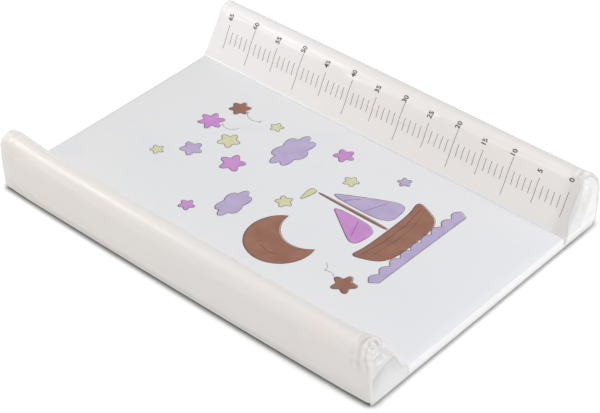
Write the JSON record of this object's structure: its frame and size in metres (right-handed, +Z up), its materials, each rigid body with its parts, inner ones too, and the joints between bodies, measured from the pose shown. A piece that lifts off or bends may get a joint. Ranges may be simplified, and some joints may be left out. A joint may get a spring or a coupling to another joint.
{
  "type": "baby changing mat",
  "caption": "Hard-base baby changing mat: flat padded lying surface between two raised foam bolsters, white film cover with a centimetre ruler.",
  "frame": {"origin": "on the floor, under the middle of the mat", "axes": "+X along the bolsters towards the zero end of the ruler, +Y across the mat towards the bolster with the ruler, +Z up"},
  "size_m": [0.7, 0.5, 0.095],
  "materials": {
    "film": "glossy white PVC film with a faint warm tint",
    "printed_film": "glossy cool white PVC film with a printed nursery design",
    "foam": "open-cell polyurethane foam",
    "hardboard": "smooth brown hardboard",
    "backing": "white spun non-woven",
    "wire": "galvanised staple wire"
  },
  "bodies": {
    "root": {"base_board": "hardboard", "underside_cloth": "backing", "centre_foam": "foam", "front_bolster_foam": "foam", "rear_bolster_foam": "foam", "centre_cover": "printed_film", "front_bolster_cover": "film", "rear_bolster_cover": "film", "front_left_end_cap": "film", "front_right_end_cap": "film", "rear_left_end_cap": "film", "rear_right_end_cap": "film", "left_end_hem": "film", "right_end_hem": "film", "side_staple_1": "wire", "side_staple_2": "wire", "side_staple_3": "wire", "side_staple_4": "wire", "side_staple_5": "wire", "side_staple_6": "wire", "side_staple_7": "wire", "side_staple_8": "wire", "side_staple_9": "wire", "side_staple_10": "wire", "side_staple_11": "wire", "side_staple_12": "wire", "side_staple_13": "wire", "side_staple_14": "wire", "end_staple_1": "wire", "end_staple_2": "wire", "end_staple_3": "wire", "end_staple_4": "wire", "end_staple_5": "wire", "end_staple_6": "wire", "end_staple_7": "wire", "end_staple_8": "wire", "end_staple_9": "wire", "end_staple_10": "wire"}
  },
  "joints": []
}
